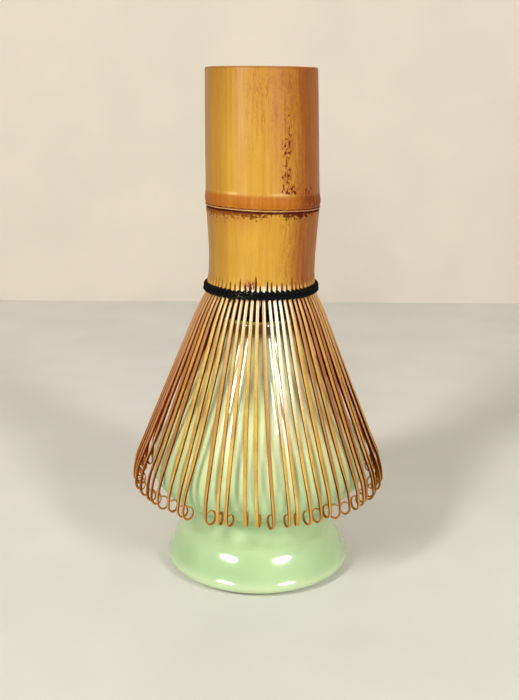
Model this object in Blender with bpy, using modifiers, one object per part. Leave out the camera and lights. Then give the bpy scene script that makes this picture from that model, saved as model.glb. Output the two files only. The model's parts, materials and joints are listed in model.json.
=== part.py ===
"""Bamboo tea whisk standing tines down on its ceramic whisk holder.

The whisk is one bamboo culm. Above the thread the culm stays whole and is the handle. Below the thread
its wall is split into sections, and each section is peeled into an outer comb of tines (the skin side,
which flares out and curls inward at the tips) and an inner comb (the pith side, which gathers towards
the axis and drops into the hole in the top of the holder). Every comb bends on its own where the thread
holds it, so every comb is its own solid with its origin on its own bending axis.

Frame: origin on the table under the axis of the whisk, +Z up, the front is -Y. Lengths below are in
millimetres and become metres when a mesh is made.
"""
from math import cos, pi, radians, sin, tau

import bmesh
import bpy
from mathutils import Matrix, Vector

MM = 0.001
WELD_DISTANCE = 0.00001          # metres

# Driving dimensions ------------------------------------------------------------------------------------

SECTIONS = 16                    # splits around the culm wall
TINES_PER_SECTION = 4            # outer tines cut from each split, and as many inner ones
CLEARANCE = 0.3                  # gap between solids that don't touch
ROUND_STEPS = 40                 # facets around a turned piece

HANDLE_TOP_Z = 126.0
HANDLE_BOTTOM_Z = 77.9           # the handle ends here and the combs' root strips begin
HANDLE_WALL = 2.4
NODE_Z = 93.9                    # ridge of the bamboo node
SEPTUM_THICKNESS = 2.6           # the membrane that closes the culm at its node
SEPTUM_FILLET = 1.5              # where it meets the wall
SEPTUM_HOLLOW = 0.4              # how far each of its faces sinks in the middle

THREAD_Z = 73.9                  # middle of the thread binding, and height of every bending axis
THREAD_RADIUS = 0.42             # of one cord
THREAD_PITCH = 0.9               # from one row of the binding to the next
THREAD_ROWS = 2
THREAD_CLEARANCE = 0.35          # between the thread and the combs that turn inside it
INNER_THREAD_RADIUS = 0.22
INNER_THREAD_TURNS = 0.985       # its ends don't quite meet
KNOT_AZIMUTH = -119.0            # degrees, to the left of the front
KNOT_RADIUS = 0.8

ROOT_STRIP_TOP_Z = HANDLE_BOTTOM_Z - CLEARANCE
ROOT_STRIP_HEIGHT = 1.2
ROOT_STRIP_EXTRA = 0.1           # how much thicker a root strip is than its tines
TINE_ROOT_DEPTH = 0.5            # how far a tine's end reaches up into its root strip

OUTER_ROOT_RADIUS = 12.75        # middle of the outer combs' wall at the thread
OUTER_TINE_WIDTH = 1.0
OUTER_TINE_THICKNESS = 0.70
OUTER_TIP_SCALE = 0.65           # section at the tip against the section at the root

INNER_ROOT_RADIUS = 11.05        # middle of the inner combs' wall at the thread
INNER_TINE_WIDTH = 0.78
INNER_TINE_THICKNESS = 0.55

# A tine's path in the plane of the axis: length, turn in degrees (positive outward), steps.
OUTER_TINE_LEGS = (
    (4.0, 0, 1),                 # straight down under the thread
    (2.0, 34.0, 1),              # bends outward below the thread
    (9.6, -11.0, 1),             # eases into the flare
    (30.7, 0, 1),                # long straight flare
    (9.7, -23.0, 2),             # turns down beside the bell of the holder
    (7.3, -270.0, 6),            # curls inward into an open loop
)
INNER_TINE_LEGS = (
    (3.0, 0, 1),                 # straight down under the thread
    (3.0, -33.0, 1),             # bends inward
    (5.0, 0, 1),                 # runs in towards the hole of the holder
    (4.5, 30.0, 1),              # straightens above the hole
    (22.0, 0, 1),                # hangs down inside the holder
)

# Outer side of the handle, top to bottom: radius, height.
HANDLE_OUTLINE = (
    (13.1, HANDLE_TOP_Z), (13.4, HANDLE_TOP_Z - 0.4), (13.6, 113.0), (13.8, NODE_Z + 5.0),
    (13.9, NODE_Z + 1.8), (14.1, NODE_Z + 0.5), (14.1, NODE_Z - 0.3), (13.75, NODE_Z - 1.3),
    (13.5, NODE_Z - 5.9), (13.3, 82.0), (13.2, HANDLE_BOTTOM_Z),
)

# Turned outline of the holder: the outer side from the lip to the foot.
HOLDER_HOLE_RADIUS = 7.5
HOLDER_LIP_Z = 66.5
HOLDER_FOOT_HOLE_RADIUS = 9.5
HOLDER_BELL = ((9.8, 65.0), (12.3, 59.6), (16.6, 51.7), (20.4, 44.6), (24.1, 37.6), (26.6, 32.4),
               (27.4, 28.2), (26.6, 24.2), (23.6, 20.9), (18.6, 18.6))
HOLDER_FOOT = ((15.3, 16.9), (15.2, 15.2), (17.5, 12.1), (21.0, 7.8), (23.4, 4.4), (23.5, 2.3),
               (22.0, 0.5), (20.6, 0.0))
HOLDER_CAVITY = ((HOLDER_FOOT_HOLE_RADIUS, 0.0), (HOLDER_FOOT_HOLE_RADIUS, 2.8), (17.4, 4.4),
                 (12.2, 15.2), (12.4, 17.8), (23.6, 26.0), (23.4, 31.0), (10.2, 57.6),
                 (HOLDER_HOLE_RADIUS, 62.6), (HOLDER_HOLE_RADIUS, 65.4))


# Materials ---------------------------------------------------------------------------------------------

def principled(name, colour, roughness, coat=0.0):
    """A material with one Principled BSDF."""
    material = bpy.data.materials.new(name)
    material.use_nodes = True
    shader = material.node_tree.nodes["Principled BSDF"]
    shader.inputs["Base Color"].default_value = (*colour, 1.0)
    shader.inputs["Roughness"].default_value = roughness
    shader.inputs["Metallic"].default_value = 0.0
    shader.inputs["Coat Weight"].default_value = coat
    material.diffuse_color = (*colour, 1.0)
    return material


# Geometry helpers --------------------------------------------------------------------------------------

def walk(start, legs):
    """Points (radius, height) along a path that leaves start straight down and follows legs."""
    radius, height = start
    heading = 0.0
    points = [start]
    for length, turn, steps in legs:
        step, bend = length / steps, turn / steps
        for _ in range(steps):
            middle = radians(heading + bend / 2)
            radius += step * sin(middle)
            height -= step * cos(middle)
            heading += bend
            points.append((radius, height))
    return points


def object_from_mesh(name, mesh, collection):
    thing = bpy.data.objects.new(name, mesh)
    collection.objects.link(thing)
    return thing


def frozen_mesh(thing, name):
    """The evaluated shape of an object as a welded mesh, in world space. The object is removed."""
    bpy.context.view_layer.update()
    evaluated = thing.evaluated_get(bpy.context.evaluated_depsgraph_get())
    mesh = bpy.data.meshes.new_from_object(evaluated)
    mesh.name = name
    mesh.transform(thing.matrix_world)
    bpy.data.objects.remove(thing)
    shape = bmesh.new()
    shape.from_mesh(mesh)
    bmesh.ops.remove_doubles(shape, verts=shape.verts, dist=WELD_DISTANCE)
    bmesh.ops.recalc_face_normals(shape, faces=shape.faces)
    shape.to_mesh(mesh)
    shape.free()
    return mesh


def bar_along(name, points, width, thickness, scales, collection):
    """A bar of rectangular section swept along points in the XZ plane; its width lies along Y."""
    section = bpy.data.curves.new(name + "_section", "CURVE")
    outline = section.splines.new("POLY")
    outline.points.add(3)
    for corner, (x, y) in zip(outline.points, ((-1, -1), (1, -1), (1, 1), (-1, 1))):
        corner.co = (x * thickness / 2 * MM, y * width / 2 * MM, 0, 1)
    outline.use_cyclic_u = True
    section_object = bpy.data.objects.new(name + "_section", section)
    collection.objects.link(section_object)

    curve = bpy.data.curves.new(name, "CURVE")
    curve.dimensions = "3D"
    curve.twist_mode = "MINIMUM"
    curve.render_resolution_u = 0
    curve.bevel_mode = "OBJECT"
    curve.bevel_object = section_object
    curve.use_fill_caps = True
    spline = curve.splines.new("POLY")
    spline.points.add(len(points) - 1)
    for point, place, scale in zip(spline.points, points, scales):
        point.co = (*(Vector(place) * MM), 1)
        point.radius = scale
    bar = bpy.data.objects.new(name, curve)
    collection.objects.link(bar)
    mesh = frozen_mesh(bar, name)
    bpy.data.objects.remove(section_object)
    return object_from_mesh(name, mesh, collection)


def arc_strip(name, inner, outer, low, high, angle, steps, collection):
    """A piece of a tube wall, centred on +X and spanning angle in radians."""
    shape = bmesh.new()
    corners = ((inner, low), (outer, low), (outer, high), (inner, high))
    start = Matrix.Rotation(-angle / 2, 4, "Z")
    verts = [shape.verts.new(start @ Vector((r * MM, 0, z * MM))) for r, z in corners]
    face = shape.faces.new(verts)
    bmesh.ops.spin(shape, geom=[face, *face.edges, *face.verts], axis=(0, 0, 1), cent=(0, 0, 0),
                   angle=angle, steps=steps)
    bmesh.ops.remove_doubles(shape, verts=shape.verts, dist=WELD_DISTANCE)
    bmesh.ops.recalc_face_normals(shape, faces=shape.faces)
    mesh = bpy.data.meshes.new(name)
    shape.to_mesh(mesh)
    shape.free()
    return object_from_mesh(name, mesh, collection)


def united(base, others, name):
    """One mesh from base and the objects it is united with. All of them are removed."""
    for other in others:
        union = base.modifiers.new(other.name, "BOOLEAN")
        union.operation = "UNION"
        union.solver = "EXACT"
        union.object = other
    mesh = frozen_mesh(base, name)
    for other in others:
        bpy.data.objects.remove(other)
    return mesh


def turned(name, outline, material, collection, closed):
    """A solid turned about Z from an outline of (radius, height) that runs down its outer side."""
    mesh = bpy.data.meshes.new(name)
    count = len(outline)
    edges = [(i, i + 1) for i in range(count - 1)]
    if closed:
        edges.append((count - 1, 0))
    mesh.from_pydata([(r * MM, 0, z * MM) for r, z in outline], edges, [])
    mesh.materials.append(material)
    thing = object_from_mesh(name, mesh, collection)
    screw = thing.modifiers.new("turn", "SCREW")
    screw.axis = "Z"
    screw.steps = ROUND_STEPS
    screw.render_steps = ROUND_STEPS
    screw.use_merge_vertices = True
    screw.merge_threshold = WELD_DISTANCE
    screw.use_smooth_shade = True
    return thing


# The pieces --------------------------------------------------------------------------------------------

def make_handle(material, collection):
    """The whole part of the culm, open at both ends, with the septum across it at the node."""
    top_inside = HANDLE_OUTLINE[1][0] - HANDLE_WALL
    bottom_inside = HANDLE_OUTLINE[-1][0] - HANDLE_WALL
    septum_top = NODE_Z + SEPTUM_THICKNESS / 2
    septum_bottom = NODE_Z - SEPTUM_THICKNESS / 2
    lower_cavity = ((bottom_inside, HANDLE_BOTTOM_Z), (bottom_inside, septum_bottom - SEPTUM_FILLET),
                    (bottom_inside - SEPTUM_FILLET, septum_bottom), (0, septum_bottom + SEPTUM_HOLLOW))
    upper_cavity = ((0, septum_top - SEPTUM_HOLLOW), (top_inside - SEPTUM_FILLET, septum_top),
                    (top_inside, septum_top + SEPTUM_FILLET), (top_inside, HANDLE_TOP_Z))
    return turned("culm_handle", upper_cavity + HANDLE_OUTLINE + lower_cavity, material, collection,
                  closed=False)


def make_holder(material, collection):
    """The turned ceramic holder: lip, bell, neck and foot around one hollow, open above and below."""
    lip_radius = (HOLDER_BELL[0][0] - HOLDER_HOLE_RADIUS) / 2
    lip_centre = (HOLDER_HOLE_RADIUS + lip_radius, HOLDER_LIP_Z - lip_radius)
    lip = [(lip_centre[0] - lip_radius * cos(pi * k / 5), lip_centre[1] + lip_radius * sin(pi * k / 5))
           for k in range(1, 5)]
    outline = (*lip, *HOLDER_BELL, *HOLDER_FOOT, *HOLDER_CAVITY)
    return turned("ceramic_holder", outline, material, collection, closed=True)


def comb_mesh(name, root_radius, width, thickness, legs, scale_at, collection):
    """One comb about its own bending axis: a root strip with tines, centred on +X."""
    pitch = tau / SECTIONS / TINES_PER_SECTION
    wall = thickness + ROOT_STRIP_EXTRA
    strip_angle = tau / SECTIONS - CLEARANCE / root_radius
    strip = arc_strip(name + "_strip", root_radius - wall / 2, root_radius + wall / 2,
                      ROOT_STRIP_TOP_Z - ROOT_STRIP_HEIGHT, ROOT_STRIP_TOP_Z, strip_angle,
                      TINES_PER_SECTION, collection)
    top = ROOT_STRIP_TOP_Z - ROOT_STRIP_HEIGHT + TINE_ROOT_DEPTH
    path = walk((root_radius, top), legs)
    scales = [scale_at(index / (len(path) - 1), radius) for index, (radius, _) in enumerate(path)]
    tines = []
    for index in range(TINES_PER_SECTION):
        tine = bar_along(f"{name}_tine_{index}", [(r, 0, z) for r, z in path], width, thickness, scales,
                         collection)
        tine.rotation_euler.z = (index - (TINES_PER_SECTION - 1) / 2) * pitch
        tines.append(tine)
    mesh = united(strip, tines, name)
    mesh.transform(Matrix.Translation((-root_radius * MM, 0, -THREAD_Z * MM)))
    return mesh


def make_combs(kind, root_radius, mesh, material, parent, collection):
    """A comb for each section of the culm, its origin on its bending axis under the thread."""
    mesh.materials.append(material)
    for index in range(SECTIONS):
        comb = object_from_mesh(f"{kind}_tines_{index + 1:02d}", mesh, collection)
        azimuth = (index + 0.5) * tau / SECTIONS
        comb.location = (root_radius * MM * cos(azimuth), root_radius * MM * sin(azimuth), THREAD_Z * MM)
        comb.rotation_euler.z = azimuth
        comb.parent = parent


def cord(name, radius, cord_radius, turns, start_azimuth, collection):
    """A cord wound about Z as a helix centred on the thread's height."""
    count = int(ROUND_STEPS * turns)
    curve = bpy.data.curves.new(name, "CURVE")
    curve.dimensions = "3D"
    curve.render_resolution_u = 0
    curve.bevel_depth = cord_radius * MM
    curve.bevel_resolution = 1
    curve.use_fill_caps = True
    spline = curve.splines.new("POLY")
    spline.points.add(count)
    for index, point in enumerate(spline.points):
        part = index / count
        azimuth = radians(start_azimuth) + part * turns * tau
        height = THREAD_Z + (part - 0.5) * turns * THREAD_PITCH
        point.co = (radius * MM * cos(azimuth), radius * MM * sin(azimuth), height * MM, 1)
    winding = bpy.data.objects.new(name, curve)
    collection.objects.link(winding)
    return object_from_mesh(name, frozen_mesh(winding, name), collection)


def make_outer_thread(material, collection):
    """The rows of thread around the outer combs, tied in a knot at the front."""
    face = OUTER_ROOT_RADIUS + OUTER_TINE_THICKNESS / 2 + THREAD_CLEARANCE
    radius = face + THREAD_RADIUS
    winding = cord("outer_winding", radius, THREAD_RADIUS, THREAD_ROWS, KNOT_AZIMUTH, collection)
    place = Matrix.Rotation(radians(KNOT_AZIMUTH), 4, "Z") @ Matrix.Translation(
        ((face + KNOT_RADIUS) * MM, 0, THREAD_Z * MM))
    shape = bmesh.new()
    bmesh.ops.create_uvsphere(shape, u_segments=10, v_segments=6, radius=KNOT_RADIUS * MM,
                              matrix=place @ Matrix.Diagonal((1, 1.3, 1.7, 1)))
    mesh = bpy.data.meshes.new("knot")
    shape.to_mesh(mesh)
    shape.free()
    knot = object_from_mesh("knot", mesh, collection)
    mesh = united(winding, [knot], "thread_outer_rows")
    mesh.materials.append(material)
    return object_from_mesh("thread_outer_rows", mesh, collection)


def make_inner_thread(material, collection):
    """The turn of thread between the outer and the inner combs, which keeps them apart."""
    outer_wall = OUTER_ROOT_RADIUS - OUTER_TINE_THICKNESS / 2
    inner_wall = INNER_ROOT_RADIUS + INNER_TINE_THICKNESS / 2
    radius = (outer_wall + inner_wall) / 2
    thread = cord("thread_inner_row", radius, INNER_THREAD_RADIUS, INNER_THREAD_TURNS, KNOT_AZIMUTH,
                  collection)
    thread.data.materials.append(material)
    return thread


def outer_scale(part, _):
    """Outer tines are thinned evenly along their length."""
    return 1 + (OUTER_TIP_SCALE - 1) * part


def inner_scale(_, radius):
    """Inner tines get narrower as they crowd together towards the axis."""
    return radius / INNER_ROOT_RADIUS


def main():
    for thing in list(bpy.data.objects):
        bpy.data.objects.remove(thing)
    whisk = bpy.data.collections.new("bamboo_tea_whisk")
    bpy.context.scene.collection.children.link(whisk)

    skin = principled("bamboo_skin", (0.72, 0.42, 0.11), 0.38, coat=0.2)
    split = principled("bamboo_split", (0.70, 0.44, 0.17), 0.55)
    thread = principled("black_thread", (0.02, 0.02, 0.022), 0.8)
    glaze = principled("celadon_glaze", (0.42, 0.60, 0.33), 0.12, coat=0.6)

    make_holder(glaze, whisk)
    lift = bpy.data.objects.new("whisk_lift", None)
    whisk.objects.link(lift)
    on_whisk = [make_handle(skin, whisk), make_outer_thread(thread, whisk), make_inner_thread(thread, whisk)]
    for piece in on_whisk:
        piece.parent = lift

    outer = comb_mesh("outer_comb", OUTER_ROOT_RADIUS, OUTER_TINE_WIDTH, OUTER_TINE_THICKNESS,
                      OUTER_TINE_LEGS, outer_scale, whisk)
    make_combs("outer", OUTER_ROOT_RADIUS, outer, split, lift, whisk)
    inner = comb_mesh("inner_comb", INNER_ROOT_RADIUS, INNER_TINE_WIDTH, INNER_TINE_THICKNESS,
                      INNER_TINE_LEGS, inner_scale, whisk)
    make_combs("inner", INNER_ROOT_RADIUS, inner, split, lift, whisk)


main()
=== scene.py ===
"""Looks of a bamboo tea whisk standing tines down on its ceramic holder.

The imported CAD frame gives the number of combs, the height of the thread, the radii where the tines are
rooted, and the tops of the handle and the holder. Around these the script builds the visible surfaces: the
culm with its node and split lower edge, 64 outer tines with curled tips, 64 inner tines, the twisted black
thread with its knot, and the glazed holder. Lengths are in millimetres until a mesh is made. The front is
-Y. Azimuths are measured from +X: in radians for shapes, in degrees for materials and lamps.
"""

import json
from math import cos, hypot, pi, radians, sin, tau

import bpy
import numpy as np
from mathutils import Matrix, Vector

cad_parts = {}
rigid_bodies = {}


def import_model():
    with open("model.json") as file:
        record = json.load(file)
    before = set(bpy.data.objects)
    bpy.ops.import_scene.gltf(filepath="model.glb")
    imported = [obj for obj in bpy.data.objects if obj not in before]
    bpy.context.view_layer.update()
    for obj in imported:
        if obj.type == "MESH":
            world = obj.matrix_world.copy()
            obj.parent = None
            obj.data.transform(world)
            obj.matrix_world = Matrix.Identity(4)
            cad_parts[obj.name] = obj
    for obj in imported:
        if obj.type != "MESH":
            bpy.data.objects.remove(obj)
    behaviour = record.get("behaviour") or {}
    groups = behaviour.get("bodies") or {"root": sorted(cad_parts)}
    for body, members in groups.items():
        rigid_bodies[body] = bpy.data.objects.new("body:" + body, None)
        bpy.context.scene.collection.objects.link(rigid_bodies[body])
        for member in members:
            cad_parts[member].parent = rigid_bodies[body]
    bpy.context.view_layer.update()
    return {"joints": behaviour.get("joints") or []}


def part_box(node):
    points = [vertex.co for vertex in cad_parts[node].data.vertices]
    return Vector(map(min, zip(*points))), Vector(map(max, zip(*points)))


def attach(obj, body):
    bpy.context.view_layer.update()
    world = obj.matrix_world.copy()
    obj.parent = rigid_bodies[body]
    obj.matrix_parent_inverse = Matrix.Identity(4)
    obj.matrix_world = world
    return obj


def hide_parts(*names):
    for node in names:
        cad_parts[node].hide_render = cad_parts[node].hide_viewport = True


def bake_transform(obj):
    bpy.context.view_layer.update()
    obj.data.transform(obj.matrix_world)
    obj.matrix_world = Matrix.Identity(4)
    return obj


for leftover in list(bpy.data.objects):
    bpy.data.objects.remove(leftover)
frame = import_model()

MM = 0.001
RANDOM = np.random.default_rng(11)


# What the frame says -----------------------------------------------------------------------------------

def joint_place(name):
    """Radius and height of a hinge, in millimetres."""
    joint = next(j for j in frame["joints"] if j["name"] == name)
    x, y, z = joint["pos_m"]
    return hypot(x, y) / MM, z / MM


SECTIONS = sum(j["name"].startswith("outer_bend_") for j in frame["joints"])
TINES_PER_SECTION = 4
TINES = SECTIONS * TINES_PER_SECTION
PITCH = tau / TINES
OUTER_ROOT_RADIUS, THREAD_Z = joint_place("outer_bend_01")
INNER_ROOT_RADIUS, _ = joint_place("inner_bend_01")
HANDLE_TOP_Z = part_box("culm_handle")[1].z / MM
HOLDER_LIP_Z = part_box("ceramic_holder")[1].z / MM

# Driving dimensions of the looks, in millimetres and degrees ---------------------------------------------

NODE_Z = HANDLE_TOP_Z - 32.1
NODE_TILT = 0.38                 # the ridge stands this much higher on the left and lower on the right
CULM_WALL = 2.4
SEPTUM = 2.6                     # thickness of the membrane inside the culm at its node
SKIRT_Z = THREAD_Z + 0.2         # lower edge of the culm's whole part, hidden by the thread
SPLIT_JITTER = 0.055             # of the pitch that a split lies off its even place, either way
SPLIT_WIDTH = 0.48
SPLIT_DEPTH = 1.2
SPLIT_TOP = (2.5, 3.9)           # lowest and highest end of a split, above the thread's middle
HIGHER_SPLITS = (7, 0.8)         # so many splits end this much higher
LONG_SPLIT = 4.9                 # one split runs up further than the others
LONG_SPLIT_AZIMUTH = radians(-98)

# The culm's skin without the relief of its node.
SKIN_HEIGHTS = (SKIRT_Z, THREAD_Z + 1.4, THREAD_Z + 4.0, THREAD_Z + 8.0, NODE_Z - 6.0, NODE_Z - 1.3,
                NODE_Z + 1.6, NODE_Z + 5.0, NODE_Z + 19.0, HANDLE_TOP_Z)
SKIN_RADII = (13.36, 13.30, 13.10, 13.10, 13.42, 13.74, 13.92, 13.78, 13.60, 13.34)
# The culm isn't quite straight: how far its middle stands to the right of the axis, at these heights.
BOW_HEIGHTS = (THREAD_Z, THREAD_Z + 9.0, NODE_Z, NODE_Z + 12.0, HANDLE_TOP_Z)
BOW = (0.35, 0.62, 0.66, 0.42, 0.10)

# A tine's path in the plane of the axis: length, turn (positive outward), rings.
TINE_TOP_Z = THREAD_Z + 0.7
OUTER_LEGS = ((0.9, 0, 2), (1.6, 28.8, 6), (8.3, -7.0, 8), (36.8, 0, 17), (6.2, -19.0, 9))
INNER_LEGS = ((0.7, 0, 2), (3.0, -33.0, 5), (5.0, 0, 3), (4.5, 30.0, 5), (21.0, 0, 8))
# A bar's outline as unit offsets (outward, sideways), anticlockwise.
BAR_OUTLINE = ((1.0, 0.0), (1.0, 0.62), (0.84, 0.88), (0.4, 1.0), (-0.4, 1.0), (-0.84, 0.88), (-1.0, 0.6),
               (-1.0, -0.6), (-0.84, -0.88), (-0.4, -1.0), (0.4, -1.0), (0.84, -0.88), (1.0, -0.62))
SKIN_PROUD = 0.13                # the outer tines' middle lines stand this far outside the hinge
TINE_FILL = (0.78, 0.92)         # least and most of its share of the circle that a tine fills at its root
DRIFT = 4.0                      # degrees that the tips move round the axis where they move most
DRIFT_AZIMUTH = radians(-125)    # tips on either side move away from here
TIP_TWIST = (-4, 48)             # degrees that a tine turns on its own line before it curls
CURL_TURN = 322.0
CURL_RADIUS = 1.32
CURL_STRETCH = 0.44              # 0 is a round loop, more is taller than wide
CURL_TIGHTEN = 0.10              # share by which the loop's radius falls toward its end
CURL_ASIDE = 0.016               # sideways per step, so that the end passes beside the tine
CURL_STEPS = 26

THREAD_STRAND = 0.30             # radius of one of the two strands of a row
THREAD_TWIST = 0.24              # how far a strand lies from the middle of its row
THREAD_PITCH = 0.96              # from one row to the next
THREAD_RADIUS = OUTER_ROOT_RADIUS + 1.02
# Rows around the outside: height over the middle, radius, strand, twist, and how far it moves at a gap.
THREAD_ROWS = ((THREAD_PITCH / 2, THREAD_RADIUS, THREAD_STRAND, THREAD_TWIST, 0.26),
               (-THREAD_PITCH / 2, THREAD_RADIUS + 0.1, THREAD_STRAND, THREAD_TWIST, -0.12),
               (0.0, THREAD_RADIUS - 0.15, 0.32, 0.04, 0.0))
INNER_THREAD_ROW = (0.0, (OUTER_ROOT_RADIUS + INNER_ROOT_RADIUS) / 2, 0.13, 0.08, 0.08)
KNOT_SCALE = 0.2
KNOT_AZIMUTH = radians(-119)

# The holder's outline (radius, height) from below its lip to the foot ring, and inside up to its hole.
HOLE_RADIUS = 7.5
LIP_RADIUS = 1.15                # of the roll round the hole
HOLDER_OUTSIDE = ((10.9, 62.7), (13.2, 58.0), (16.6, 51.7), (20.4, 44.6), (23.7, 38.3), (26.2, 33.1),
                  (27.35, 28.6), (26.7, 24.4), (23.4, 20.8), (18.6, 18.5), (15.7, 16.9), (15.1, 15.3),
                  (15.5, 13.7), (17.1, 12.1), (19.1, 10.9), (20.4, 9.7), (21.8, 7.6), (22.9, 5.4),
                  (23.65, 3.6), (23.85, 2.6), (23.5, 1.65), (22.3, 0.95), (21.0, 0.5))
FOOT_RING = ((20.2, 0.08), (19.6, 0.0), (15.0, 0.0), (10.2, 0.0), (9.6, 0.3))
HOLDER_INSIDE = ((9.5, 1.5), (9.7, 2.8), (13.0, 3.9), (17.0, 5.4), (13.6, 10.0), (12.2, 15.2), (13.6, 18.6),
                 (20.5, 22.0), (23.6, 27.0), (22.8, 33.0), (17.0, 45.0), (10.4, 57.4), (HOLE_RADIUS, 62.8))

# Stage and camera, in metres and degrees.
WALL_Y = 0.324
STAGE_REACH = 3.0                # of floor and wall to either side; the wall goes up as far
CAMERA_PLACE = (0.0001, -0.235, 0.1201)
CAMERA_DOWN = 15.0               # how far the view looks down
CAMERA_ROLL = 0.4


# Mesh helpers ------------------------------------------------------------------------------------------

def smooth_line(points, step):
    """A smooth line through points (Catmull-Rom), resampled at about step."""
    points = np.array(points, float)
    ends = np.vstack([2 * points[0] - points[1], points, 2 * points[-1] - points[-2]])
    line = []
    for a, b, c, d in zip(ends, ends[1:], ends[2:], ends[3:]):
        count = max(1, round(float(np.linalg.norm(c - b)) / step))
        for t in np.arange(count) / count:
            line.append(0.5 * (2 * b + (c - a) * t + (2 * a - 5 * b + 4 * c - d) * t**2
                               + (3 * b - a - 3 * c + d) * t**3))
    line.append(points[-1])
    return np.array(line)


def make_object(name, verts, faces, material, attributes):
    """An object from vertices in millimetres, faces and named values per vertex."""
    mesh = bpy.data.meshes.new(name)
    mesh.from_pydata((np.asarray(verts) * MM).tolist(), [], faces)
    for key, values in attributes.items():
        mesh.attributes.new(key, "FLOAT", "POINT").data.foreach_set("value", np.asarray(values, np.float32))
    mesh.polygons.foreach_set("use_smooth", np.ones(len(mesh.polygons), bool))
    mesh.materials.append(material)
    mesh.update()
    thing = bpy.data.objects.new(name, mesh)
    bpy.context.scene.collection.objects.link(thing)
    return thing


def skin_faces(rings, columns, first=0, closed=False):
    """Quads between consecutive rings of points. The first and last rings join up when closed."""
    faces = []
    for ring in range(rings if closed else rings - 1):
        low = first + ring * columns
        high = first + (ring + 1) % rings * columns
        for column in range(columns):
            after = (column + 1) % columns
            faces.append((low + column, low + after, high + after, high + column))
    return faces


class Bundle:
    """Collects bars, tubes and turned shapes that end up in one mesh."""

    def __init__(self):
        self.verts, self.faces, self.values = [], [], {}

    def add(self, rings, values, closed=False):
        """rings: array (ring, column, 3). values: named arrays (ring, column)."""
        count, columns, _ = rings.shape
        first = sum(len(block) for block in self.verts)
        self.verts.append(rings.reshape(-1, 3))
        self.faces += skin_faces(count, columns, first, closed)
        if not closed:
            last = first + (count - 1) * columns
            self.faces.append(tuple(first + c for c in reversed(range(columns))))
            self.faces.append(tuple(last + c for c in range(columns)))
        for key, array in values.items():
            self.values.setdefault(key, []).append(np.broadcast_to(array, (count, columns)).ravel())

    def build(self, name, material):
        attributes = {key: np.concatenate(blocks) for key, blocks in self.values.items()}
        return make_object(name, np.vstack(self.verts), self.faces, material, attributes)


def bell_curve(x, middle, width):
    """1 at middle, falling off smoothly to both sides."""
    return np.exp(-((x - middle) / width) ** 2)


def ease(x, low, high):
    """0 below low, 1 above high, smooth between."""
    t = np.clip((x - low) / (high - low), 0, 1)
    return t * t * (3 - 2 * t)


def wobble(x, waves, size):
    """A smooth uneven wave of x (radians), the same after each full turn. waves: pairs (order, phase)."""
    return size * sum(np.sin(order * x + phase) / order for order, phase in waves)


def circles(profile, azimuths):
    """Rings of points about the axis. profile: pairs (radius, height), the radius also one per azimuth."""
    return np.array([np.stack([radius * np.cos(azimuths), radius * np.sin(azimuths),
                               np.full_like(azimuths, height)], 1) for radius, height in profile])


def tube(path, radius, closed):
    """Rings of eight points around a path that never runs straight up."""
    ahead = np.roll(path, -1, 0) - np.roll(path, 1, 0)
    if not closed:
        ahead[0] = path[1] - path[0]
        ahead[-1] = path[-1] - path[-2]
    ahead /= np.linalg.norm(ahead, axis=1)[:, None]
    nearly_up = (0.11, 0.17, 1.0)
    side = np.cross(ahead, nearly_up)
    side /= np.linalg.norm(side, axis=1)[:, None]
    up = np.cross(side, ahead)
    angles = np.arange(8) / 8 * tau
    return (path[:, None] + radius * (np.cos(angles)[None, :, None] * side[:, None]
                                      + np.sin(angles)[None, :, None] * up[:, None]))


# Materials ---------------------------------------------------------------------------------------------

def srgb(red, green, blue):
    """Linear colour from 0-255 screen values."""
    return tuple(((c / 255 + 0.055) / 1.055) ** 2.4 if c > 10 else c / 255 / 12.92
                 for c in (red, green, blue))


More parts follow.
